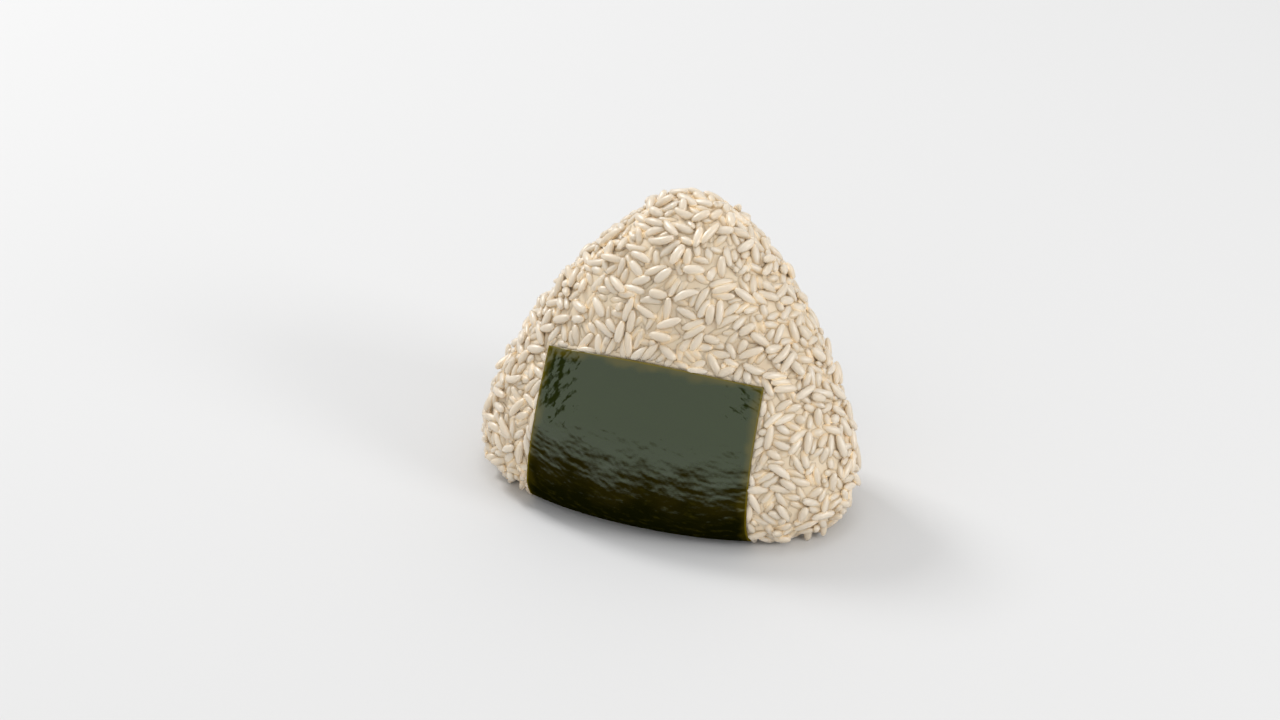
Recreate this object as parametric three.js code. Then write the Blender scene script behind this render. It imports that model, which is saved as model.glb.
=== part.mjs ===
// Onigiri: a hand-pressed triangle of short-grain rice with one strip of nori folded under it.
// Millimetres, +Z up. The origin is the middle of the base, on the surface that the food stands on.
// +X is the right-hand side, and the broad face that shows most leans back and faces -Y.
import * as THREE from 'three';
import { ConvexHull } from 'three/addons/math/ConvexHull.js';

// Rice body: half breadth and half depth at fractions of its height. The sections are
// superellipses whose middle line leans back as it rises.
const HEIGHT = 74.8;
const LEVELS = [0, 0.12, 0.3, 0.5, 0.7, 0.87, 1];
const HALF_BREADTH = [45.6, 49.3, 47.1, 40.1, 30.5, 18.6, 0];
const HALF_DEPTH_FRONT = [18.8, 25.5, 26.7, 23.2, 20.2, 15.8, 0];
const HALF_DEPTH_BACK = [22.5, 27.5, 27.4, 23.6, 19.4, 14.6, 0];
const SECTION_POWER = 2.1;
const LEAN = 0.3;
const LEAN_HEIGHT = 25;
const BASE_RADIUS = 3.5;
const BASE_LIFT = 0.2;
const BODY_SHIFT_Y = 1.25;

// Grains: each is a roof of two crest points over six points of its outline, sunk to the core.
const GRAIN_LENGTH = 6.1;
const GRAIN_WIDTH = 2.5;
const GRAIN_CREST = 0.32;
const GRAIN_SHOULDER = 0.3;
const GRAIN_CLEARANCE = 1.78;
const GRAIN_TURNS = 9;
const CREST_RISE = 0.45;
const CREST_VARIATION = 0.3;
const OUTLINE_DEPTH = 0.85;
const SHARED_OUTLINE = 0.85;
const HOLLOW_DEPTH = 1.1;
const HOLLOW_SPACING = 1.9;

// Nori: a thin strip from the front, under the base and up the back.
const NORI_LEFT = -28.95;
const NORI_RIGHT = 27.7;
const NORI_FLARE = 1.2;
const NORI_TOP = 44;
const NORI_TOP_BOW = 4.3;
const NORI_BOW_SPAN = 30;
const NORI_THICKNESS = 0.5;
const NORI_PROUD = 0.2;
const NORI_WAVE = 0.3;
const NORI_COLUMNS = 11;
const NORI_ROWS = 56;

// The rice pressed in under the nori, and the row of points just outside the nori's edges.
const PRESSED_DEPTH = 0.85;
const PRESSED_SPACING = 5;
const RIM_MARGIN = 0.5;
const RIM_SPACING = 1.7;
const RIM_TO_GRAIN = 0.45;

// Rays from this centre meet the skin once. The points are joined over a round shape of about
// the body's proportions, flatter below the centre than above it.
const CENTRE = new THREE.Vector3(0, BODY_SHIFT_Y, LEAN_HEIGHT);
const SHADOW_BREADTH = 49;
const SHADOW_DEPTH = 27;
const SHADOW_RISE = HEIGHT - LEAN_HEIGHT;
const SHADOW_DROP = LEAN_HEIGHT;
const SPREAD_COUNT = 42000;
const SEED = 7;

// Seeded random numbers from 0 to 1 by mulberry32, so that each build gives the same grains.
function makeRandom(seed) {
  let state = seed;
  return () => {
    state = (state + 0x6d2b79f5) | 0;
    let mixed = Math.imul(state ^ (state >>> 15), 1 | state);
    mixed = (mixed + Math.imul(mixed ^ (mixed >>> 7), 61 | mixed)) ^ mixed;
    return ((mixed ^ (mixed >>> 14)) >>> 0) / 2 ** 32;
  };
}

const random = makeRandom(SEED);

// A smooth curve through the squares of the sizes, so that a size that ends at 0 ends in a round.
function sizeAtLevel(sizes, level) {
  const last = LEVELS.length - 1;
  const clamped = Math.min(Math.max(level, 0), 1);
  let i = 0;
  while (i < last - 1 && clamped > LEVELS[i + 1]) i += 1;
  const slope = (a, b) => (sizes[b] ** 2 - sizes[a] ** 2) / (LEVELS[b] - LEVELS[a]);
  const slopeHere = slope(Math.max(i - 1, 0), i + 1);
  const slopeNext = slope(i, Math.min(i + 2, last));
  const step = LEVELS[i + 1] - LEVELS[i];
  const t = (clamped - LEVELS[i]) / step;
  const square =
    (2 * t ** 3 - 3 * t ** 2 + 1) * sizes[i] ** 2 +
    (t ** 3 - 2 * t ** 2 + t) * step * slopeHere +
    (3 * t ** 2 - 2 * t ** 3) * sizes[i + 1] ** 2 +
    (t ** 3 - t ** 2) * step * slopeNext;
  return Math.sqrt(Math.max(square, 0));
}

// How far the rounded lower edge pulls the outline in at height z.
function baseInset(z) {
  const below = Math.max(0, BASE_RADIUS - z + BASE_LIFT);
  return BASE_RADIUS - Math.sqrt(Math.max(BASE_RADIUS ** 2 - below ** 2, 0));
}

function middleY(z) {
  return BODY_SHIFT_Y + LEAN * (z - LEAN_HEIGHT);
}

function halfBreadth(z) {
  return sizeAtLevel(HALF_BREADTH, z / HEIGHT) - baseInset(z);
}

// side is -1 for the front and 1 for the back.
function halfDepth(z, side) {
  const sizes = side < 0 ? HALF_DEPTH_FRONT : HALF_DEPTH_BACK;
  return sizeAtLevel(sizes, z / HEIGHT) - baseInset(z);
}

// Depth coordinate of the skin at x and z.
function skinY(x, z, side) {
  const across = Math.min(Math.abs(x) / halfBreadth(z), 1);
  return middleY(z) + side * halfDepth(z, side) * (1 - across ** SECTION_POWER) ** (1 / SECTION_POWER);
}

function isInside(point) {
  if (point.z < BASE_LIFT || point.z > HEIGHT) return false;
  const back = point.y - middleY(point.z);
  const across = Math.abs(point.x) / halfBreadth(point.z);
  const deep = Math.abs(back) / halfDepth(point.z, Math.sign(back));
  return across ** SECTION_POWER + deep ** SECTION_POWER < 1;
}

// The point where a ray from the centre leaves the rice.
function skinPoint(direction) {
  let near = 0;
  let far = HEIGHT;
  const point = new THREE.Vector3();
  for (let i = 0; i < 26; i += 1) {
    const reach = (near + far) / 2;
    point.copy(CENTRE).addScaledVector(direction, reach);
    if (isInside(point)) near = reach;
    else far = reach;
  }
  return point;
}

function ontoSkin(point) {
  return skinPoint(point.clone().sub(CENTRE).normalize());
}

// Evenly turned directions, in random order, each carried out to the skin.
function spreadOverSkin(count) {
  const goldenTurn = Math.PI * (3 - Math.sqrt(5));
  const points = [];
  for (let i = 0; i < count; i += 1) {
    const up = 1 - (2 * i + 1) / count;
    const level = Math.sqrt(1 - up * up);
    const turn = goldenTurn * i;
    points.push(skinPoint(new THREE.Vector3(level * Math.cos(turn), level * Math.sin(turn), up)));
  }
  for (let i = count - 1; i > 0; i -= 1) {
    const j = Math.floor(random() * (i + 1));
    [points[i], points[j]] = [points[j], points[i]];
  }
  return points;
}

// Nori edges at height z or at x.
function noriFlareAt(z) {
  return NORI_FLARE * Math.max(0, 1 - z / NORI_TOP);
}

function noriX(across, z) {
  const left = NORI_LEFT - noriFlareAt(z);
  const right = NORI_RIGHT + noriFlareAt(z);
  return left + (right - left) * across;
}

function noriTopAt(x) {
  return NORI_TOP - NORI_TOP_BOW * (x / NORI_BOW_SPAN) ** 2;
}

// How far a point of the skin is inside the nori's outline, or outside it where negative.
function noriMargin(point) {
  const left = point.x - noriX(0, point.z);
  const right = noriX(1, point.z) - point.x;
  return Math.min(left, right, noriTopAt(point.x) - point.z);
}

// The skin's path under the nori at one place across it, from the front edge under the base to
// the back edge, and past both edges by extra, as evenly spaced points.
function wrapPath(across, extra, steps) {
  const dense = [];
  const rises = 90;
  const topX = noriX(across, NORI_TOP);
  const top = noriTopAt(topX) + extra;
  for (const side of [-1, 1]) {
    for (let i = 0; i <= rises; i += 1) {
      const climb = side < 0 ? 1 - i / rises : i / rises;
      const z = BASE_LIFT + (top - BASE_LIFT) * climb ** 2;
      const x = noriX(across, z);
      dense.push(new THREE.Vector3(x, skinY(x, z, side), z));
    }
  }
  const lengths = [0];
  for (let i = 1; i < dense.length; i += 1) {
    lengths.push(lengths[i - 1] + dense[i].distanceTo(dense[i - 1]));
  }
  const path = [];
  let i = 0;
  for (let step = 0; step <= steps; step += 1) {
    const wanted = (lengths[lengths.length - 1] * step) / steps;
    while (i < dense.length - 2 && lengths[i + 1] < wanted) i += 1;
    const share = (wanted - lengths[i]) / Math.max(lengths[i + 1] - lengths[i], 1e-9);
    path.push(dense[i].clone().lerp(dense[i + 1], Math.min(share, 1)));
  }
  return path;
}

function isClear(point, others, gap) {
  return others.every((other) => other.distanceToSquared(point) > gap * gap);
}

// Keeps the places that lie farther than the gap from each other and from the points given.
function thinOut(places, gap, points = []) {
  const kept = [];
  for (const place of places) {
    if (isClear(place, kept, gap) && isClear(place, points, gap)) kept.push(place);
  }
  return kept;
}

// The row of points just outside the nori's edges.
function rimPoints() {
  const margin = RIM_MARGIN / (NORI_RIGHT - NORI_LEFT);
  const columns = Math.round((NORI_RIGHT - NORI_LEFT) / RIM_SPACING);
  const rows = Math.round((2 * (NORI_TOP + HALF_DEPTH_FRONT[1])) / RIM_SPACING);
  const rim = [-margin, 1 + margin].flatMap((across) => wrapPath(across, RIM_MARGIN, rows));
  for (let column = 1; column < columns; column += 1) {
    const path = wrapPath(column / columns, RIM_MARGIN, rows);
    rim.push(path[0], path[rows]);
  }
  return rim;
}

// Which way the skin faces at a point of it.
function skinNormal(place) {
  const step = 0.5;
  const flat = new THREE.Vector3(0, 0, 1).cross(place.clone().sub(CENTRE)).setLength(step);
  const steep = place.clone().sub(CENTRE).cross(flat).setLength(step);
  const aside = ontoSkin(place.clone().add(flat)).sub(place);
  const above = ontoSkin(place.clone().add(steep)).sub(place);
  return aside.cross(above).normalize();
}

// A grain lies flat on the skin at a place, turned at random, where it is clear of the others.
function layGrain(place, grains) {
  const nearest = new THREE.Vector3();
  const reachOf = (axis, point) => axis.closestPointToPoint(point, true, nearest).distanceTo(point);
  const around = grains.filter((grain) => grain.middle.distanceTo(place) < GRAIN_LENGTH);
  const isFree = (point) => around.every((grain) => reachOf(grain.axis, point) > GRAIN_CLEARANCE);
  if (!isFree(place)) return null;
  const normal = skinNormal(place);
  const flat = new THREE.Vector3(0, 0, 1).cross(normal).normalize();
  const halfAxis = (GRAIN_LENGTH - GRAIN_WIDTH) / 2;
  const start = random() * Math.PI;
  for (let turn = 0; turn < GRAIN_TURNS; turn += 1) {
    const along = flat.clone().applyAxisAngle(normal, start + (turn * Math.PI) / GRAIN_TURNS);
    const ends = [-halfAxis, halfAxis].map((reach) => place.clone().addScaledVector(along, reach));
    const axis = new THREE.Line3(...ends);
    const clearOfNori = ends.every((end) => noriMargin(end) < -RIM_TO_GRAIN - GRAIN_WIDTH / 2);
    const clearOfGrains = ends.every(isFree) && around.every((grain) => {
      return [grain.axis.start, grain.axis.end].every((end) => reachOf(axis, end) > GRAIN_CLEARANCE);
    });
    if (clearOfNori && clearOfGrains) {
      return { middle: place, axis, along, across: normal.clone().cross(along) };
    }
  }
  return null;
}

// A grain's two crest points and the six of its outline, which neighbours may share.
function grainPoints({ middle, along, across }) {
  const spot = (x, y) => ontoSkin(middle.clone().addScaledVector(along, x).addScaledVector(across, y));
  const tip = GRAIN_LENGTH / 2;
  const crest = GRAIN_CREST * tip;
  const shoulder = GRAIN_SHOULDER * tip;
  const side = GRAIN_WIDTH / 2;
  return {
    crests: [spot(-crest, 0), spot(crest, 0)],
    corners: [
      spot(-tip, 0),
      spot(tip, 0),
      ...[-side, side].flatMap((y) => [spot(-shoulder, y), spot(shoulder, y)]),
    ],
  };
}

// Every point of the rice's surface, as its place on the skin and its rise from it.
function ricePoints() {
  const spread = spreadOverSkin(SPREAD_COUNT);
  const rim = rimPoints();
  const pressed = thinOut(spread.filter((place) => noriMargin(place) > RIM_SPACING), PRESSED_SPACING);
  const points = [...rim, ...pressed].map((place) => ({ place, rise: -PRESSED_DEPTH }));

  const open = spread.filter((place) => noriMargin(place) < -RIM_TO_GRAIN);
  const grains = [];
  for (const place of open) {
    const grain = layGrain(place, grains);
    if (grain) grains.push(grain);
  }
  const outline = [];
  for (const grain of grains) {
    const { crests, corners } = grainPoints(grain);
    const rise = CREST_RISE + CREST_VARIATION * (random() - 0.5);
    crests.forEach((place) => points.push({ place, rise }));
    outline.push(...thinOut(corners, SHARED_OUTLINE, [...rim, ...outline]));
  }
  outline.forEach((place) => points.push({ place, rise: -OUTLINE_DEPTH }));

  const taken = [...rim, ...outline, ...grains.map((grain) => grain.middle)];
  const hollows = thinOut(open, HOLLOW_SPACING, taken);
  hollows.forEach((place) => points.push({ place, rise: -HOLLOW_DEPTH }));
  return points;
}

// Where a ray from the centre meets the round shape.
function shadowOf(place) {
  const ray = place.clone().sub(CENTRE);
  const level = (ray.x / SHADOW_BREADTH) ** 2 + (ray.y / SHADOW_DEPTH) ** 2;
  if (ray.z > 0) return ray.divideScalar(Math.sqrt(level + (ray.z / SHADOW_RISE) ** 2));
  const drop = (ray.z / SHADOW_DROP) ** 4;
  return ray.multiplyScalar(Math.sqrt(2 / (level + Math.sqrt(level ** 2 + 4 * drop))));
}

// Joins the points by the convex hull of their shadows on the round shape, then raises each one
// from the skin along its normal and keeps it above the ground.
function riceGeometry() {
  const points = ricePoints();
  const order = new Map();
  const shadows = points.map((point, index) => {
    const shadow = shadowOf(point.place);
    order.set(shadow, index);
    return shadow;
  });
  const triangles = [];
  for (const face of new ConvexHull().setFromPoints(shadows).faces) {
    let edge = face.edge;
    do {
      triangles.push(order.get(edge.head().point));
      edge = edge.next;
    } while (edge !== face.edge);
  }
  const geometry = new THREE.BufferGeometry();
  geometry.setIndex(triangles);
  geometry.setAttribute('position', new THREE.Float32BufferAttribute(points.length * 3, 3));
  const position = geometry.getAttribute('position');
  points.forEach((point, index) => position.setXYZ(index, ...point.place));
  geometry.computeVertexNormals();
  const normals = geometry.getAttribute('normal');
  const normal = new THREE.Vector3();
  points.forEach((point, index) => {
    normal.fromBufferAttribute(normals, index);
    const raised = point.place.clone().addScaledVector(normal, point.rise);
    position.setXYZ(index, raised.x, raised.y, Math.max(raised.z, 0));
  });
  return geometry;
}

// A soft unevenness of the sheet, nil on the base, where it lies flat.
function noriWave(place) {
  const lift = Math.min(1, Math.max(0, (place.z - BASE_RADIUS) / BASE_RADIUS));
  const slow = Math.sin(place.x * 0.21 + 1.1) * Math.sin(place.z * 0.19 + 0.4);
  const quick = Math.sin(place.x * 0.63 + place.z * 0.35) * Math.cos(place.z * 0.71 - place.x * 0.2);
  return NORI_WAVE * lift * (0.5 + 0.3 * slow + 0.2 * quick);
}

// The strip: an outer and an inner grid with the same triangles, closed round the four edges.
function noriGeometry() {
  const grid = [];
  for (let column = 0; column <= NORI_COLUMNS; column += 1) {
    grid.push(wrapPath(column / NORI_COLUMNS, 0, NORI_ROWS));
  }
  const clampTo = (value, most) => Math.min(Math.max(value, 0), most);
  const normalAt = (column, row) => {
    const along = grid[column][clampTo(row + 1, NORI_ROWS)].clone();
    along.sub(grid[column][clampTo(row - 1, NORI_ROWS)]);
    const across = grid[clampTo(column + 1, NORI_COLUMNS)][row].clone();
    across.sub(grid[clampTo(column - 1, NORI_COLUMNS)][row]);
    return along.cross(across).normalize();
  };
  const vertices = [];
  const outerAt = (column, row) => column * (NORI_ROWS + 1) + row;
  const layer = (NORI_COLUMNS + 1) * (NORI_ROWS + 1);
  for (const depth of [0, NORI_THICKNESS]) {
    for (let column = 0; column <= NORI_COLUMNS; column += 1) {
      for (let row = 0; row <= NORI_ROWS; row += 1) {
        const place = grid[column][row];
        const rise = NORI_PROUD + noriWave(place) - depth;
        const point = place.clone().addScaledVector(normalAt(column, row), rise);
        if (depth === 0) point.z = Math.max(point.z, 0);
        vertices.push(...point);
      }
    }
  }
  const triangles = [];
  const addQuad = (a, b, c, d) => triangles.push(a, b, c, a, c, d);
  for (let column = 0; column < NORI_COLUMNS; column += 1) {
    for (let row = 0; row < NORI_ROWS; row += 1) {
      const corners = [
        outerAt(column, row),
        outerAt(column, row + 1),
        outerAt(column + 1, row + 1),
        outerAt(column + 1, row),
      ];
      addQuad(...corners);
      const [a, b, c, d] = corners.map((corner) => corner + layer);
      triangles.push(a, c, b, a, d, c);
    }
  }
  const addEdge = (a, b) => addQuad(b, a, a + layer, b + layer);
  for (let row = 0; row < NORI_ROWS; row += 1) {
    addEdge(outerAt(0, row), outerAt(0, row + 1));
    addEdge(outerAt(NORI_COLUMNS, row + 1), outerAt(NORI_COLUMNS, row));
  }
  for (let column = 0; column < NORI_COLUMNS; column += 1) {
    addEdge(outerAt(column + 1, 0), outerAt(column, 0));
    addEdge(outerAt(column, NORI_ROWS), outerAt(column + 1, NORI_ROWS));
  }
  const geometry = new THREE.BufferGeometry();
  geometry.setIndex(triangles);
  geometry.setAttribute('position', new THREE.Float32BufferAttribute(vertices, 3));
  return geometry;
}

function rice() {
  const material = new THREE.MeshStandardMaterial({ color: 0xe8dcc4, roughness: 0.45, metalness: 0 });
  const mesh = new THREE.Mesh(riceGeometry(), material);
  mesh.name = 'rice';
  return mesh;
}

function nori() {
  const material = new THREE.MeshStandardMaterial({ color: 0x1f2b1c, roughness: 0.3, metalness: 0 });
  const mesh = new THREE.Mesh(noriGeometry(), material);
  mesh.name = 'nori';
  return mesh;
}

const onigiri = new THREE.Group();
onigiri.add(rice(), nori());

export default onigiri;
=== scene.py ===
"""Onigiri: a hand-pressed triangle of cooked short-grain rice with one strip of nori folded under it.

Metres, +Z up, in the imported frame. The food stands on z = 0, +X is its right-hand side, and the
broad face that leans back looks to -Y.
"""

import math

import bmesh
import bpy
import numpy as np
from mathutils import Matrix, Vector, noise


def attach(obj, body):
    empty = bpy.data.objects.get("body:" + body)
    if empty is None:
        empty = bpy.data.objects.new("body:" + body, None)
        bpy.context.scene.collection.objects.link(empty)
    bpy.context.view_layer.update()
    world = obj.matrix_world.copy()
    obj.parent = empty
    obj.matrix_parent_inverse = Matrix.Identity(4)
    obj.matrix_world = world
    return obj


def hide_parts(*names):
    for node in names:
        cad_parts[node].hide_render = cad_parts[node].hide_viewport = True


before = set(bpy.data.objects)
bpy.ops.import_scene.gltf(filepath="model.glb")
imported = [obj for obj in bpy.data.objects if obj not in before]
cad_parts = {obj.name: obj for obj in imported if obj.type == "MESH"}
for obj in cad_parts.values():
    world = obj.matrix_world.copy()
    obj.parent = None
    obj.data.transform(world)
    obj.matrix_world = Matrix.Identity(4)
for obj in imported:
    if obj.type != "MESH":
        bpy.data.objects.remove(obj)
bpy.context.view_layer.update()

MM = 0.001
UP = np.array([0.0, 0.0, 1.0])

# ---------------------------------------------------------------------------------------------
# Sizes of the body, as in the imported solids
# ---------------------------------------------------------------------------------------------

# Half breadth and half depth at fractions of the height. The sections are superellipses whose
# middle line leans back as it rises.
HEIGHT = 74.8 * MM
LEVELS = np.array([0, 0.12, 0.3, 0.5, 0.7, 0.87, 1])
HALF_BREADTH = np.array([45.6, 49.3, 47.1, 40.1, 30.5, 18.6, 0]) * MM
HALF_DEPTH_FRONT = np.array([18.8, 25.5, 26.7, 23.2, 20.2, 15.8, 0]) * MM
HALF_DEPTH_BACK = np.array([22.5, 27.5, 27.4, 23.6, 19.4, 14.6, 0]) * MM
SECTION_POWER = 2.1
LEAN = 0.3
LEAN_HEIGHT = 25 * MM
BASE_RADIUS = 3.5 * MM
BASE_LIFT = 0.2 * MM
BODY_SHIFT_Y = 1.25 * MM
CENTRE = np.array([0, BODY_SHIFT_Y, LEAN_HEIGHT])

# How often the search for the skin along a ray halves its range.
HALVINGS = 24

# The nori's outline on the skin, front and back alike.
NORI_LEFT = -28.95 * MM
NORI_RIGHT = 27.7 * MM
NORI_FLARE = 1.2 * MM
NORI_TOP = 44 * MM
NORI_TOP_BOW = 4.3 * MM
NORI_BOW_SPAN = 30 * MM
NORI_THICKNESS = 0.42 * MM
NORI_PROUD = 0.2 * MM
NORI_WAVE = 0.3 * MM

# ---------------------------------------------------------------------------------------------
# Sizes of what is finer than the solids
# ---------------------------------------------------------------------------------------------

SEED = 11

# Depths are measured from the skin, inwards where negative.
CORE_DEPTH = -0.81 * MM
CORE_UNDER_NORI = -1.2 * MM
LIP_DEPTH = -0.35 * MM
LIP_WIDTH = 0.5 * MM

GRAIN_SIDES = 8
GRAIN_RINGS = 7
GRAIN_FULLNESS = 0.1

# A grain's thickness as a share of its width.
GRAIN_FLATNESS = (0.84, 0.98)

# A grain's row of balls stands in for it while the grains are laid.
GRAIN_BALLS = 5
BALLS_TO_TIP = 0.84
CLOSENESS = 0.88
SETTLING_ROUNDS = 36
NEIGHBOUR_GAP = 7 * MM
TOUCH = 0.6 * MM

# Many places are tried, and the ones that lie farther apart than the gap get a grain.
LYING_PLACES = 9000
PRESSED_GAP = 2.32 * MM
LOOSE_GAP = 2.25 * MM
LYING_TILTS = (-0.5, 0.5)
STANDING_PLACES = 400
STANDING_GAP = 11 * MM
STANDING_TILTS = (0.6, 1.2)

# A crest is how far a grain's top may stand off the skin.
LOW_CREST = 0.1 * MM
HIGH_CREST = 1.1 * MM
LOOSE_CREST = 1.7 * MM
FOOT_CREST = 0.3 * MM
STANDING_CREST = 0.6 * MM
DEEPEST = -1.35 * MM

# How grains meet the nori: none starts farther in, their balls keep this far off its edge, their
# crests are this much lower beside it, and what is under it is pressed down to this depth.
UNDER_NORI = 2 * MM
NORI_REACH = -0.3 * MM
NORI_CREST_DROP = 0.4 * MM
PRESSED_FLAT = -0.42 * MM

# Where the nori's gloss ends and its painted dark reflection and shade begin, measured down the sheet
# from its top edge.
GLOSS_END = 27.2 * MM
GLOSS_FADE = 6.5 * MM
CRINKLE_STEP = 0.8 * MM

# The nori's grid: its squares are about half a millimetre, so that it can carry crinkles.
NORI_COLUMNS = 116
NORI_ROWS = 300


# ---------------------------------------------------------------------------------------------
# The skin: the smooth outer shape that rice and nori follow
# ---------------------------------------------------------------------------------------------

def size_at(sizes, z):
    """Sizes at heights z, by a smooth curve through their squares, so that a 0 ends in a round."""
    last = len(LEVELS) - 1
    squares = sizes ** 2
    before = np.maximum(np.arange(last + 1) - 1, 0)
    after = np.minimum(np.arange(last + 1) + 1, last)
    slopes = (squares[after] - squares[before]) / (LEVELS[after] - LEVELS[before])
    level = np.clip(z / HEIGHT, 0, 1)
    i = np.clip(np.searchsorted(LEVELS, level, side="right") - 1, 0, last - 1)
    step = LEVELS[i + 1] - LEVELS[i]
    t = (level - LEVELS[i]) / step
    square = (
        (2 * t ** 3 - 3 * t ** 2 + 1) * squares[i]
        + (t ** 3 - 2 * t ** 2 + t) * step * slopes[i]
        + (3 * t ** 2 - 2 * t ** 3) * squares[i + 1]
        + (t ** 3 - t ** 2) * step * slopes[i + 1]
    )
    return np.sqrt(np.maximum(square, 0))


def base_inset(z):
    """How far the rounded lower edge pulls the outline in."""
    below = np.maximum(0, BASE_RADIUS - z + BASE_LIFT)
    return BASE_RADIUS - np.sqrt(np.maximum(BASE_RADIUS ** 2 - below ** 2, 0))


def middle_y(z):
    """The middle line of the body, which leans back as it rises."""
    return BODY_SHIFT_Y + LEAN * (z - LEAN_HEIGHT)


def half_breadth(z):
    return np.maximum(size_at(HALF_BREADTH, z) - base_inset(z), 1e-9)


def half_depth(z, side):
    """side is below 0 for the front and above 0 for the back."""
    deep = np.where(side < 0, size_at(HALF_DEPTH_FRONT, z), size_at(HALF_DEPTH_BACK, z))
    return np.maximum(deep - base_inset(z), 1e-9)


def skin_y(x, z, side):
    across = np.minimum(np.abs(x) / half_breadth(z), 1)
    deep = (1 - across ** SECTION_POWER) ** (1 / SECTION_POWER)
    return middle_y(z) + side * half_depth(z, side) * deep


def is_inside(points):
    x, y, z = points.T
    back = y - middle_y(z)
    across = np.abs(x) / half_breadth(z)
    deep = np.abs(back) / half_depth(z, back)
    within = (z >= BASE_LIFT) & (z <= HEIGHT)
    return within & (across ** SECTION_POWER + deep ** SECTION_POWER < 1)


def unit(vectors):
    return vectors / np.linalg.norm(vectors, axis=-1, keepdims=True)


def onto_skin(points):
    """Carries points along rays from the centre to the skin."""
    rays = unit(points - CENTRE)
    near = np.zeros(len(rays))
    far = np.full(len(rays), HEIGHT)
    for _ in range(HALVINGS):
        reach = (near + far) / 2
        inside = is_inside(CENTRE + rays * reach[:, None])
        near = np.where(inside, reach, near)
        far = np.where(inside, far, reach)
    return CENTRE + rays * near[:, None]


def skin_normals(places):
    """Which way the skin faces at points of it."""
    step = 0.5 * MM
    outward = places - CENTRE
    flat = step * unit(np.cross(UP, outward) + np.array([1e-9, 0, 0]))
    steep = step * unit(np.cross(outward, flat))
    aside = onto_skin(places + flat) - places
    above = onto_skin(places + steep) - places
    return unit(np.cross(aside, above))


def looseness(normals):
    """0 on the broad faces, where hands pressed the grains flat, and 1 round the sides and the foot."""
    return 1 - smooth_step(0.45, 0.85, np.abs(normals[:, 1]))


def nearness_to_foot(places):
    """1 in the low band where the sides turn under, and 0 above it and on the underside."""
    low = places[:, 2]
    return smooth_step(0.5 * MM, 2 * MM, low) - smooth_step(7 * MM, 13 * MM, low)


def nori_x(across, z):
    """Where the nori's left edge, right edge or a share of the way between them is at a height."""
    flare = NORI_FLARE * np.maximum(0, 1 - z / NORI_TOP)
    left = NORI_LEFT - flare
    return left + (NORI_RIGHT + flare - left) * across


def nori_top_at(x):
    return NORI_TOP - NORI_TOP_BOW * (x / NORI_BOW_SPAN) ** 2


def nori_margin(points):
    """How far points of the skin are inside the nori's outline, or outside it where negative."""
    x, _, z = points.T
    left = x - nori_x(0, z)
    right = nori_x(1, z) - x
    return np.minimum(np.minimum(left, right), nori_top_at(x) - z)


def smooth_step(low, high, values):
    t = np.clip((values - low) / (high - low), 0, 1)
    return t * t * (3 - 2 * t)


# ---------------------------------------------------------------------------------------------
# Materials
# ---------------------------------------------------------------------------------------------

class Field:
    """One output of a material's nodes, so that a pattern is written as sums and products."""

    def __init__(self, finish, socket):
        self.finish = finish
        self.socket = socket

    def maths(self, operation, *values, clamp=False):
        settings = {"operation": operation, "use_clamp": clamp}
        return self.finish.node("Math", settings, dict(enumerate(values)))

    def __add__(self, other):
        return self.maths("ADD", self, other)

    def __radd__(self, other):
        return self.maths("ADD", other, self)

    def __sub__(self, other):
        return self.maths("SUBTRACT", self, other)

    def __rsub__(self, other):
        return self.maths("SUBTRACT", other, self)

    def __mul__(self, other):
        return self.maths("MULTIPLY", self, other)

    def __rmul__(self, other):
        return self.maths("MULTIPLY", other, self)

    def __truediv__(self, other):
        return self.maths("DIVIDE", self, other)

    def least(self, other):
        return self.maths("MINIMUM", self, other)

    def most(self, other):
        return self.maths("MAXIMUM", self, other)

    def ramp(self, low, high):
        """0 at low and 1 at high, with soft ends."""
        settings = {"interpolation_type": "SMOOTHSTEP"}
        return self.finish.node("MapRange", settings, {"Value": self, "From Min": low, "From Max": high})


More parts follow.
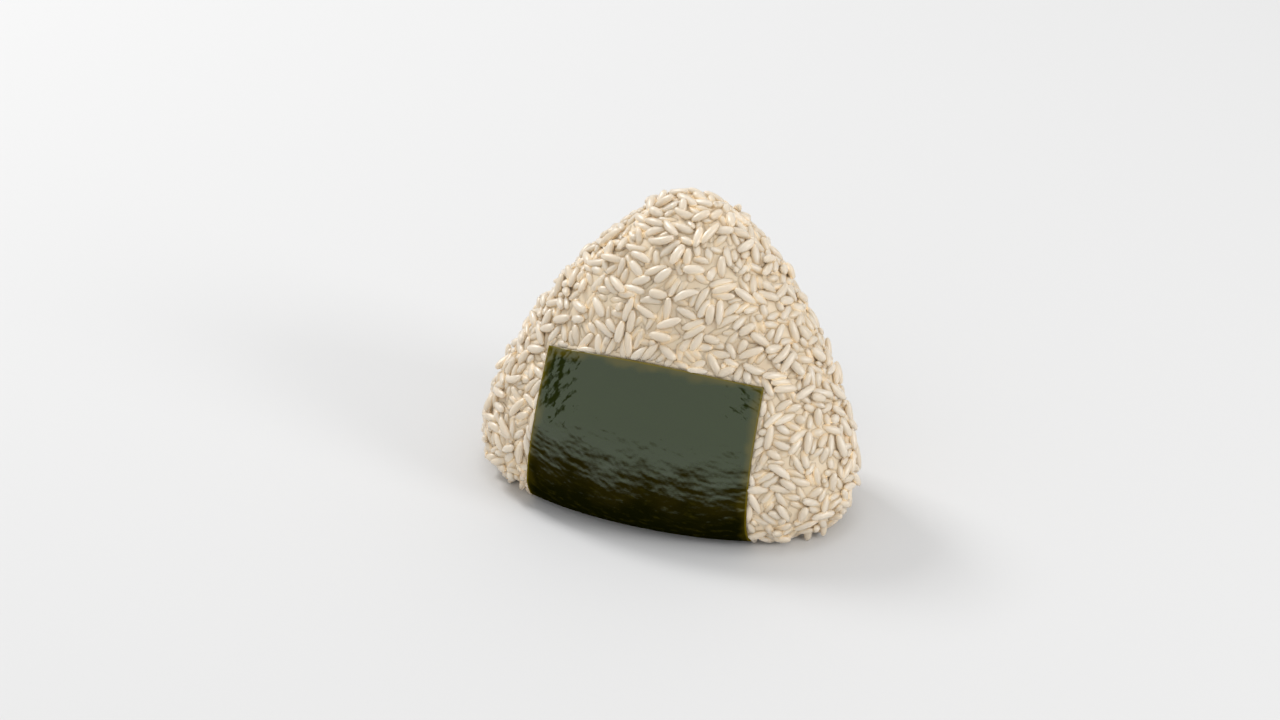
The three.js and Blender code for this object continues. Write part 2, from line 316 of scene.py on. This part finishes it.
class Finish:
    """A procedural material: constants on the shader's own sockets, and patterns fed to a few."""

    def __init__(self, name, **constants):
        self.material = bpy.data.materials.new(name)
        self.material.use_nodes = True
        self.tree = self.material.node_tree
        self.shader = self.tree.nodes["Principled BSDF"]
        # The grains overlap, and this method scatters light evenly across that.
        self.shader.subsurface_method = "BURLEY"
        for socket, value in constants.items():
            self.shader.inputs[socket.replace("_", " ")].default_value = value

    def node(self, kind, settings=None, inputs=None, output=0):
        made = self.tree.nodes.new("ShaderNode" + kind)
        for setting, value in (settings or {}).items():
            setattr(made, setting, value)
        for socket, value in (inputs or {}).items():
            self.connect(made.inputs[socket], value)
        return Field(self, made.outputs[output])

    def connect(self, socket, value):
        if isinstance(value, Field):
            self.tree.links.new(value.socket, socket)
        else:
            socket.default_value = value

    def feed(self, **patterns):
        for socket, value in patterns.items():
            self.connect(self.shader.inputs[socket.replace("_", " ")], value)

    def attribute(self, name):
        return self.node("Attribute", {"attribute_name": name}, output="Fac")

    def place(self, scale=(1, 1, 1)):
        """Object coordinates, stretched by a scale."""
        where = self.node("TexCoord", output="Object")
        return self.node("Mapping", inputs={"Vector": where, "Scale": scale})

    def clouds(self, where, scale, detail=2.0, roughness=0.5):
        inputs = {"Vector": where, "Scale": scale, "Detail": detail, "Roughness": roughness}
        return self.node("TexNoise", inputs=inputs)

    def strokes(self, where, turn, stretch, scale):
        """Clouds drawn out along a direction of the first two axes."""
        inputs = {"Vector": where, "Rotation": (0, 0, turn), "Scale": (stretch, 1, 1)}
        drawn_out = self.node("Mapping", {"vector_type": "TEXTURE"}, inputs)
        return self.clouds(drawn_out, scale, detail=4, roughness=0.6)

    def blend(self, share, first, second):
        """Colours mixed by a share from 0 to 1."""
        inputs = {"Factor": share, 6: first, 7: second}
        return self.node("Mix", {"data_type": "RGBA"}, inputs, output=2)

    def bump(self, height, distance, strength=1.0):
        return self.node("Bump", inputs={"Height": height, "Distance": distance, "Strength": strength})


def rice_finish():
    """Cooked grains: soft ivory, a little see-through, moist with a broad gloss."""
    rice = Finish(
        "cooked_rice",
        Subsurface_Weight=0.9,
        Subsurface_Radius=(1.0, 0.9, 0.74),
        Subsurface_Scale=2.0 * MM,
        Coat_Roughness=0.3,
        Specular_IOR_Level=0.5,
    )
    tone = rice.attribute("tone")
    rise = rice.attribute("rise")
    touch = rice.attribute("touch")
    where = rice.place()
    cloud = rice.clouds(where, 420, detail=3)
    pale = (0.71, 0.622, 0.499, 1)
    warm = (0.685, 0.581, 0.443, 1)
    # Painted shade: the grains' colour turns warmer and darker where they sink towards the pressed rice
    # or touch a neighbour, standing in for the shade in the crevices between them.
    painted_crevice_shade = (0.73, 0.583, 0.392, 1)
    body = rice.blend((tone * 0.7 + cloud * 0.6 - 0.15).ramp(0.1, 0.9), warm, pale)
    clear_of_crevice_shade = ((1 - touch) * rise.ramp(0.0, 0.55)).ramp(0.0, 0.8)
    grit = rice.clouds(where, 2600, detail=2)
    rice.feed(
        Base_Color=rice.blend(clear_of_crevice_shade, painted_crevice_shade, body),
        Roughness=0.28 + 0.16 * cloud,
        Coat_Weight=0.5 + 0.5 * rice.clouds(where, 900).ramp(0.35, 0.6),
        Normal=rice.bump(grit, 0.05 * MM, 0.5),
    )
    return rice.material


def core_finish():
    """The pressed starchy rice between the grains: smooth, warm and damp."""
    core = Finish(
        "pressed_rice",
        Subsurface_Weight=0.5,
        Subsurface_Radius=(1.0, 0.8, 0.6),
        Subsurface_Scale=0.9 * MM,
    )
    where = core.place()
    cloud = core.clouds(where, 160, detail=4)
    grit = core.clouds(where, 900, detail=3)
    core.feed(
        Base_Color=core.blend(cloud.ramp(0.3, 0.7), (0.755, 0.622, 0.445, 1), (0.795, 0.665, 0.487, 1)),
        Roughness=0.42 + 0.2 * grit,
        Normal=core.bump(grit, 0.12 * MM, 0.7),
    )
    return core.material


def nori_finish(breadth, run):
    """Dried seaweed: dark green under a thin gloss that breaks up where the sheet is crinkled."""
    nori = Finish(
        "nori_sheet",
        Specular_IOR_Level=0,
        Coat_Roughness=0.2,
        Coat_IOR=1.71,
    )
    sheet = nori.node("UVMap", {"uv_map": "Sheet"})
    parts = nori.node("SeparateXYZ", inputs={"Vector": sheet}).socket.node
    across = Field(nori, parts.outputs["X"]) * breadth
    along = Field(nori, parts.outputs["Y"]) * run
    down = along.least(run - along)
    from_side = across.least(breadth - across)
    from_edge = from_side.least(down)
    where = nori.node("CombineXYZ", inputs={"X": across, "Y": along})
    patches = nori.clouds(where, 110, detail=2)

    # The gloss ends where the sheet turns under, and below that the colour is painted dark, standing in
    # for the dark reflection and shade there. Each crinkle tips its lower side into the dull, painted
    # dark part and its upper side out of it, so the end is a ragged band.
    lower = nori.node("Mapping", inputs={"Vector": where, "Location": (0, CRINKLE_STEP, 0)})
    fall = nori.strokes(where, 0.15, 2.2, 360) - nori.strokes(lower, 0.15, 2.2, 360)
    tipped = down + fall * (36 * MM) + (patches - 0.5) * (14 * MM)
    dull_and_painted_dark = tipped.ramp(GLOSS_END - GLOSS_FADE, GLOSS_END + GLOSS_FADE)

    # Flecks without gloss and with painted shade in their colour, close together in the upper corners.
    one_corner = across.ramp(18 * MM, 4 * MM) * down.ramp(32 * MM, 12 * MM)
    other_corner = (breadth - across).ramp(18 * MM, 3 * MM) * down.ramp(24 * MM, 4 * MM)
    steep = nori.strokes(where, 2.0, 2.2, 640) + 0.36 * one_corner
    level = nori.strokes(where, 0.5, 2.4, 760) + 0.28 * other_corner
    flecks = steep.most(level).ramp(0.78, 0.9)

    green = (0.021, 0.037, 0.005, 1)
    deep = (0.0053, 0.0058, 0.0006, 1)
    shadow = (0.015, 0.02, 0.0035, 1)
    painted_brown_reflection = (0.0175, 0.014, 0.0014, 1)
    moss = (0.03, 0.026, 0.0025, 1)
    olive = (0.17, 0.125, 0.008, 1)
    # Painted reflection and shade below the gloss: a brown reflection just under the band, turning to
    # near-black painted shade towards the ground where the sheet turns under, with lighter fibres through
    # it.
    turning = (down + (patches - 0.5) * (24 * MM)).ramp(30 * MM, 42 * MM)
    fibres = nori.strokes(where, 0.2, 2.4, 700)
    shade = nori.blend(fibres.ramp(0.5, 0.8), nori.blend(turning, painted_brown_reflection, deep), moss)
    body = nori.blend(dull_and_painted_dark, nori.blend(flecks, green, shadow), shade)
    blotch = (from_edge + (patches - 0.5) * (8 * MM)).ramp(2.6 * MM, 0.2 * MM)
    stained = nori.blend(blotch * (0.36 - 0.22 * dull_and_painted_dark), body, olive)
    rim = from_edge.ramp(0.55 * MM, 0.2 * MM)
    nori.feed(
        Base_Color=nori.blend(rim * 0.75, stained, olive),
        Roughness=0.5 + 0.2 * patches,
        Coat_Weight=(1 - dull_and_painted_dark.most(flecks)) * (1 - 0.5 * rim) * (0.9 + 0.1 * down.ramp(16 * MM, 26 * MM)),
        Normal=nori.bump(nori.strokes(where, 0.3, 1.6, 600), 0.08 * MM, 0.25),
    )
    return nori.material


def floor_finish():
    floor = Finish("pale_floor", Specular_IOR_Level=0.1, Roughness=0.7)
    cloud = floor.clouds(floor.place(), 2)
    floor.feed(Base_Color=floor.blend(cloud, (0.68, 0.68, 0.68, 1), (0.685, 0.685, 0.685, 1)))
    return floor.material


# ---------------------------------------------------------------------------------------------
# Pieces
# ---------------------------------------------------------------------------------------------

def show(name, mesh, material):
    """Puts a mesh into the scene as one smooth piece."""
    mesh.shade_smooth()
    mesh.materials.append(material)
    piece = bpy.data.objects.new(name, mesh)
    bpy.context.scene.collection.objects.link(piece)
    return piece


def coordinates(elements):
    return np.array([v.co for v in elements])


def core_depth(places):
    """How deep the pressed rice lies: deeper round the foot, a low lip along the nori, lower under it."""
    margin = nori_margin(places)
    lumps = np.array([noise.noise(Vector(p) * 260) + 0.5 * noise.noise(Vector(p) * 700) for p in places])
    foot = 1 - smooth_step(8 * MM, 18 * MM, places[:, 2])
    hollow = 0.08 * looseness(skin_normals(places)) + 0.12 * foot
    open_depth = CORE_DEPTH + (0.22 * lumps - hollow) * MM
    lip = smooth_step(-LIP_WIDTH - 0.8 * MM, -LIP_WIDTH, margin)
    depth = open_depth + (LIP_DEPTH - open_depth) * lip
    under = smooth_step(0, 0.6 * MM, margin)
    return depth + (CORE_UNDER_NORI - depth) * under


def rice_core():
    """The pressed middle that shows between the grains."""
    ball = bmesh.new()
    bmesh.ops.create_icosphere(ball, subdivisions=6, radius=10 * MM)
    for vertex, place in zip(ball.verts, onto_skin(coordinates(ball.verts) + CENTRE)):
        vertex.co = place
    margins = nori_margin(coordinates(ball.verts))
    by_edge = [v for v, m in zip(ball.verts, margins) if abs(m + LIP_WIDTH / 2) < 2 * MM]
    edges = {e for v in by_edge for e in v.link_edges}
    bmesh.ops.subdivide_edges(ball, edges=list(edges), cuts=1, use_grid_fill=True)
    bmesh.ops.triangulate(ball, faces=ball.faces)
    places = onto_skin(coordinates(ball.verts))
    sunk = places + skin_normals(places) * core_depth(places)[:, None]
    sunk[:, 2] = np.maximum(sunk[:, 2], 0.02 * MM)
    for vertex, place in zip(ball.verts, sunk):
        vertex.co = place
    mesh = bpy.data.meshes.new("rice_core")
    ball.to_mesh(mesh)
    ball.free()
    return show("rice_core", mesh, core_finish())


class Kind:
    """One kind of grain, with the ranges that its sizes are drawn from."""

    def __init__(self, name, share, length, width, bend, taper):
        self.name = name
        self.share = share
        self.length = length
        self.width = width
        self.bend = bend
        self.taper = taper
        self.grains = []


KINDS = [
    Kind("slender", 0.38, (5.9, 7.1), (2.15, 2.4), (-0.03, 0.03), (-0.12, 0.12)),
    Kind("plump", 0.34, (5.2, 6.3), (2.35, 2.65), (-0.03, 0.03), (-0.18, 0.18)),
    Kind("bent", 0.16, (5.9, 7.1), (2.15, 2.4), (0.05, 0.11), (-0.12, 0.12)),
    Kind("short", 0.12, (4.0, 5.0), (2.15, 2.5), (-0.03, 0.03), (-0.2, 0.2)),
]


def spread_places(count, rng):
    """Places spread evenly over the skin in random order, leaving out what the nori hides."""
    golden_turn = math.pi * (3 - math.sqrt(5))
    i = np.arange(5 * count)
    rise = 1 - (2 * i + 1) / (5 * count)
    level = np.sqrt(1 - rise ** 2)
    rays = np.stack([level * np.cos(golden_turn * i), level * np.sin(golden_turn * i), rise], 1)
    places = onto_skin(CENTRE + rays)
    normals = skin_normals(places)
    reach = np.linalg.norm(places - CENTRE, axis=1)
    # Each ray stands for more skin where the skin is farther off or slants away from it.
    area = reach ** 2 / np.maximum((normals * rays).sum(1), 0.1)
    area[nori_margin(places) > UNDER_NORI] = 0
    return places[rng.choice(len(places), count, replace=False, p=area / area.sum())]


def thin_out(places, gaps):
    """Keeps the places that lie farther than their gaps from each other."""
    kept = places[:1]
    for place, gap in zip(places[1:], gaps[1:]):
        if ((kept - place) ** 2).sum(1).min() > gap ** 2:
            kept = np.vstack([kept, place])
    return kept


class Heap:
    """Grains pressed against the skin that push each other aside, or over and under one another."""

    def __init__(self, places, heights, tilts, rng):
        count = len(places)
        loose = looseness(skin_normals(places))
        shares = [kind.share for kind in KINDS]
        self.kinds = [KINDS[k] for k in rng.choice(len(KINDS), count, p=shares)]
        self.lengths = np.array([rng.uniform(*kind.length) for kind in self.kinds]) * MM
        self.widths = np.array([rng.uniform(*kind.width) for kind in self.kinds]) * MM
        self.thicknesses = self.widths * rng.uniform(*GRAIN_FLATNESS, count)
        self.heights = rng.uniform(*heights, count)
        foot = nearness_to_foot(places)
        self.rest_tilts = rng.uniform(*tilts, count) * (0.2 + 0.8 * loose + 0.9 * foot)
        self.tilts = self.rest_tilts
        self.steepest = 0.3 + 0.4 * loose + 0.35 * foot
        top_crests = HIGH_CREST + (LOOSE_CREST - HIGH_CREST) * loose + FOOT_CREST * foot
        self.crests = LOW_CREST + rng.uniform(0, 1, count) ** (2 - 0.8 * loose) * (top_crests - LOW_CREST)
        self.places = places
        steps = np.linspace(-BALLS_TO_TIP, BALLS_TO_TIP, GRAIN_BALLS)
        self.radii = self.widths[:, None] / 2 * np.sqrt(1 - steps ** 2)
        self.arms = steps * self.lengths[:, None] / 2
        self.seat(rng.normal(size=(count, 3)))

    def seat(self, axes):
        """Brings the grains back over the skin, none above its crest or too deep."""
        self.places = onto_skin(self.places)
        self.normals = skin_normals(self.places)
        self.axes = unit(axes - self.normals * (axes * self.normals).sum(1, keepdims=True))
        reach = np.hypot(self.lengths * np.sin(self.tilts), self.thicknesses * np.cos(self.tilts)) / 2
        beside_nori = smooth_step(-4 * MM, -1 * MM, nori_margin(self.places))
        self.heights = np.clip(self.heights, DEEPEST, self.crests - NORI_CREST_DROP * beside_nori - reach)

    def balls(self):
        """Each grain as a row of balls."""
        centres = self.places + self.normals * self.heights[:, None]
        return centres[:, None] + self.leaning_axes()[:, None] * self.arms[..., None]

    def leaning_axes(self):
        return np.cos(self.tilts)[:, None] * self.axes + np.sin(self.tilts)[:, None] * self.normals

    def neighbours(self):
        gaps = np.linalg.norm(self.places[:, None] - self.places[None], axis=2)
        return np.nonzero(np.triu(gaps < NEIGHBOUR_GAP, 1))

    def settle(self):
        """Pushes apart the balls of neighbours that lie closer than a share of their sizes."""
        for turn in range(SETTLING_ROUNDS):
            if turn % 10 == 0:
                one, other = self.neighbours()
            balls = self.balls()
            gaps = balls[other][:, None] - balls[one][:, :, None]
            distance = np.maximum(np.linalg.norm(gaps, axis=3), 0.01 * MM)
            touch = CLOSENESS * (self.radii[one][:, :, None] + self.radii[other][:, None])
            push = gaps * (np.maximum(touch - distance, 0) / distance / 2)[..., None]
            moves = np.zeros_like(balls)
            np.add.at(moves, one, -push.sum(2))
            np.add.at(moves, other, push.sum(1))
            moves += self.push_off_nori(balls)
            rises = (moves * self.normals[:, None]).sum(2)
            turned = (moves * self.arms[..., None]).sum(1) / (self.arms ** 2).sum(1, keepdims=True)
            tipped = (rises * self.arms).sum(1) / (self.arms ** 2).sum(1)
            # A grain goes part of the way each round, and its tilt eases back, so the heap comes to rest.
            self.heights = self.heights + 0.4 * rises.sum(1)
            tilts = self.rest_tilts + 0.85 * (self.tilts - self.rest_tilts) + 0.5 * tipped
            self.tilts = np.clip(tilts, -self.steepest, self.steepest)
            self.places = self.places + 0.3 * moves.sum(1)
            self.seat(self.axes + 0.25 * turned)

    def push_off_nori(self, balls):
        """Moves balls that would lie over the nori back to its edge."""
        flat = balls.reshape(-1, 3)
        margin = nori_margin(flat)
        step = 0.1 * MM
        slope_x = (nori_margin(flat + [step, 0, 0]) - margin) / step
        slope_z = (nori_margin(flat + [0, 0, step]) - margin) / step
        away = -np.stack([slope_x, np.zeros_like(margin), slope_z], 1)
        return (away * np.maximum(margin - NORI_REACH, 0)[:, None]).reshape(balls.shape)

    def finish(self, rng):
        """Hands each grain over to its kind."""
        centres = self.places + self.normals * self.heights[:, None]
        leaning = self.leaning_axes()
        sides = np.cross(self.normals, self.axes)
        balls = self.balls()
        for k, kind in enumerate(self.kinds):
            kind.grains.append({
                "centre": centres[k],
                "axes": np.stack([leaning[k], sides[k], np.cross(leaning[k], sides[k])]),
                "length": self.lengths[k],
                "width": self.widths[k],
                "thickness": self.thicknesses[k],
                "bend": rng.uniform(*kind.bend),
                "taper": rng.uniform(*kind.taper),
                "normal": self.normals[k],
                "tone": rng.uniform(),
                "balls": balls[k],
                "radii": self.radii[k],
            })


def lay_rice():
    """Fills the open skin with lying grains, and sets a few on end between them."""
    rng = np.random.default_rng(SEED)
    places = spread_places(LYING_PLACES, rng)
    gaps = PRESSED_GAP + (LOOSE_GAP - PRESSED_GAP) * looseness(skin_normals(places))
    lying = Heap(thin_out(places, gaps), (DEEPEST, 0), LYING_TILTS, rng)
    lying.settle()
    lying.finish(rng)

    places = spread_places(STANDING_PLACES, rng)
    places = thin_out(places, np.full(len(places), STANDING_GAP))
    standing = Heap(places, (-1 * MM, 0), STANDING_TILTS, rng)
    # A heap eases its tilts on the broad faces, and these are steep all over.
    standing.tilts = rng.uniform(*STANDING_TILTS, len(places))
    standing.crests = np.minimum(standing.crests, STANDING_CREST)
    standing.seat(standing.axes)
    standing.finish(rng)


def unit_grain():
    """A round bead with its poles on X, as points and faces, that every grain is drawn out from."""
    bead = bmesh.new()
    turn = Matrix.Rotation(math.pi / 2, 4, "Y")
    bmesh.ops.create_uvsphere(bead, u_segments=GRAIN_SIDES, v_segments=GRAIN_RINGS, radius=1, matrix=turn)
    points = coordinates(bead.verts)
    faces = [[v.index for v in face.verts] for face in bead.faces]
    bead.free()
    return points, faces


def grain_points(grain, bead):
    """One grain drawn out of the bead: long, round at the ends, tapered and bent."""
    a, b, c = bead.T
    full = np.maximum(1 - a ** 2, 0.05) ** -GRAIN_FULLNESS * (1 + grain["taper"] * a)
    x = a * grain["length"] / 2
    y = b * full * grain["width"] / 2 + grain["bend"] * grain["length"] * (a ** 2 - 0.4)
    z = c * full * grain["thickness"] / 2
    return grain["centre"] + np.stack([x, y, z], 1) @ grain["axes"]


def press(points, normals):
    """Flattens points of grains where the nori lies over them, and on the ground."""
    height = ((points - onto_skin(points)) * normals).sum(1)
    covered = smooth_step(-0.5 * MM, 0.1 * MM, nori_margin(points))
    pressed = np.minimum(height, PRESSED_FLAT)
    points = points + normals * ((pressed - height) * covered)[:, None]
    points[:, 2] = np.maximum(points[:, 2], 0)
    return points, height


def touching(grain, points, balls, radii):
    """How near balls of other grains come to points of one: 1 where they meet, 0 a little way off."""
    close = np.linalg.norm(balls - grain["centre"], axis=1) < grain["length"] / 2 + 2 * MM
    its_own = (balls[:, None] == grain["balls"]).all(2).any(1)
    close &= ~its_own
    gaps = np.linalg.norm(points[:, None] - balls[close], axis=2) - radii[close]
    return 1 - smooth_step(0, TOUCH, gaps.min(1, initial=TOUCH))


def grain_piece(kind, bead, faces, balls, radii, material):
    """All grains of one kind as a joined mesh, with each grain's tone and each point's rise and touch."""
    grains = kind.grains
    shapes = [grain_points(grain, bead) for grain in grains]
    touches = [touching(grain, shape, balls, radii) for grain, shape in zip(grains, shapes)]
    points = np.concatenate(shapes)
    normals = np.repeat([grain["normal"] for grain in grains], len(bead), axis=0)
    points, height = press(points, normals)
    joined = [[i + k * len(bead) for i in face] for k in range(len(grains)) for face in faces]
    mesh = bpy.data.meshes.new("rice_grains_" + kind.name)
    mesh.from_pydata(points, [], joined)
    tones = np.repeat([grain["tone"] for grain in grains], len(bead))
    rises = smooth_step(CORE_DEPTH, 0.6 * MM, height)
    for name, values in (("tone", tones), ("rise", rises), ("touch", np.concatenate(touches))):
        layer = mesh.attributes.new(name, "FLOAT", "POINT")
        layer.data.foreach_set("value", values.astype(np.float32))
    return show(mesh.name, mesh, material)


def rice_grains():
    lay_rice()
    balls = np.concatenate([grain["balls"] for kind in KINDS for grain in kind.grains])
    radii = np.concatenate([grain["radii"] for kind in KINDS for grain in kind.grains])
    bead, faces = unit_grain()
    material = rice_finish()
    return [grain_piece(kind, bead, faces, balls, radii, material) for kind in KINDS]


def wrap_path(across, rows):
    """The skin's path under the nori, from the front edge under the base to the back edge."""
    climb = np.linspace(1, 0, 91)
    top = nori_top_at(nori_x(across, NORI_TOP))
    # The square brings the heights closer together towards the fold.
    z = BASE_LIFT + (top - BASE_LIFT) * climb ** 2
    x = nori_x(across, z)
    front = np.stack([x, skin_y(x, z, -1), z], 1)
    back = np.stack([x, skin_y(x, z, 1), z], 1)[::-1]
    dense = np.concatenate([front, back])
    run = np.concatenate([[0], np.cumsum(np.linalg.norm(np.diff(dense, axis=0), axis=1))])
    even = np.linspace(0, run[-1], rows + 1)
    return np.stack([np.interp(even, run, dense[:, k]) for k in range(3)], 1), run[-1]


def from_nearer_side(across):
    return min(across, NORI_RIGHT - NORI_LEFT - across)


def nori_relief(place, across, down):
    """How far the outer face stands off the skin: a slow wave, with crinkles near the fold and sides."""
    x, _, z = place / MM
    lift = min(1, max(0, (place[2] - BASE_RADIUS) / BASE_RADIUS))
    slow = math.sin(x * 0.21 + 1.1) * math.sin(z * 0.19 + 0.4)
    quick = math.sin(x * 0.63 + z * 0.35) * math.cos(z * 0.71 - x * 0.2)
    wave = NORI_WAVE * lift * (0.5 + 0.3 * slow + 0.2 * quick)
    spot = Vector((across * 260, down * 620, 3))
    crinkle = noise.noise(spot) + 0.6 * noise.noise(spot * 2.1)
    near_fold = math.exp(-((down - GLOSS_END) / (6.5 * MM)) ** 2)
    near_side = math.exp(-from_nearer_side(across) / (5 * MM))
    strength = 0.02 + 0.16 * near_fold + 0.07 * near_side
    return NORI_PROUD + wave + crinkle * strength * lift * MM


def nori_sheet():
    """The strip of nori, front and back alike, as a grid laid on the skin and given its thickness."""
    columns = [wrap_path(c / NORI_COLUMNS, NORI_ROWS) for c in range(NORI_COLUMNS + 1)]
    grid = np.array([path for path, _ in columns])
    run = max(length for _, length in columns)
    breadth = NORI_RIGHT - NORI_LEFT
    normals = unit(np.cross(np.gradient(grid, axis=1), np.gradient(grid, axis=0)))
    sheet = bmesh.new()
    layer = sheet.loops.layers.uv.new("Sheet")
    bmesh.ops.create_grid(sheet, x_segments=NORI_COLUMNS, y_segments=NORI_ROWS, size=0.5, calc_uvs=True)
    for vertex in sheet.verts:
        across = vertex.co.x + 0.5
        along = vertex.co.y + 0.5
        spot = round(across * NORI_COLUMNS), round(along * NORI_ROWS)
        place = grid[spot]
        down = min(along, 1 - along) * run
        outer = place + normals[spot] * nori_relief(place, across * breadth, down)
        outer[2] = max(outer[2], 0)
        vertex.co = outer
    bmesh.ops.reverse_faces(sheet, faces=sheet.faces)
    mesh = bpy.data.meshes.new("nori_sheet")
    sheet.to_mesh(mesh)
    sheet.free()
    piece = show("nori_sheet", mesh, nori_finish(breadth, run))
    wall = piece.modifiers.new("thickness", "SOLIDIFY")
    wall.thickness = NORI_THICKNESS
    wall.offset = -1
    return piece


# ---------------------------------------------------------------------------------------------
# Stage
# ---------------------------------------------------------------------------------------------

CAMERA_PLACE = Vector((221.8, -630.9, 462.2)) * MM
CAMERA_AIM = Vector((-26.9, 50.5, 0)) * MM
CAMERA_LENS = 88.3


def aim(thing, target):
    thing.rotation_euler = (target - thing.location).to_track_quat("-Z", "Y").to_euler()


def add_camera():
    camera = bpy.data.objects.new("camera", bpy.data.cameras.new("camera"))
    camera.location = CAMERA_PLACE
    aim(camera, CAMERA_AIM)
    camera.data.lens = CAMERA_LENS
    camera.data.sensor_width = 36
    camera.data.clip_start = 0.01
    bpy.context.scene.collection.objects.link(camera)
    bpy.context.scene.camera = camera


def add_light(name, place, size, power):
    light = bpy.data.lights.new(name, "AREA")
    light.shape = "SQUARE"
    light.size = size
    light.energy = power
    lamp = bpy.data.objects.new(name, light)
    lamp.location = place
    aim(lamp, Vector((0, 0, HEIGHT / 2)))
    bpy.context.scene.collection.objects.link(lamp)


def add_stage():
    sheet = bmesh.new()
    bmesh.ops.create_circle(sheet, cap_ends=True, segments=96, radius=6)
    mesh = bpy.data.meshes.new("floor")
    sheet.to_mesh(mesh)
    sheet.free()
    floor = show("floor", mesh, floor_finish())

    world = bpy.data.worlds.new("studio")
    world.use_nodes = True
    world.node_tree.nodes["Background"].inputs["Color"].default_value = (0.77, 0.77, 0.77, 1)
    bpy.context.scene.world = world
    add_light("overhead", Vector((0, 0.1, 1.2)), 0.35, 0.9)
    add_light("right_window", Vector((0.9, -0.1, 0.5)), 0.3, 2.9)
    add_light("left_window", Vector((-0.8, 0.35, 0.9)), 0.3, 6.5)
    bpy.context.scene.view_settings.view_transform = "Standard"


# ---------------------------------------------------------------------------------------------
# The whole
# ---------------------------------------------------------------------------------------------

add_camera()
add_stage()

for piece in [rice_core(), *rice_grains()]:
    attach(piece, "root")
    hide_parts("rice")

nori = nori_sheet()
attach(nori, "root")
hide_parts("nori")
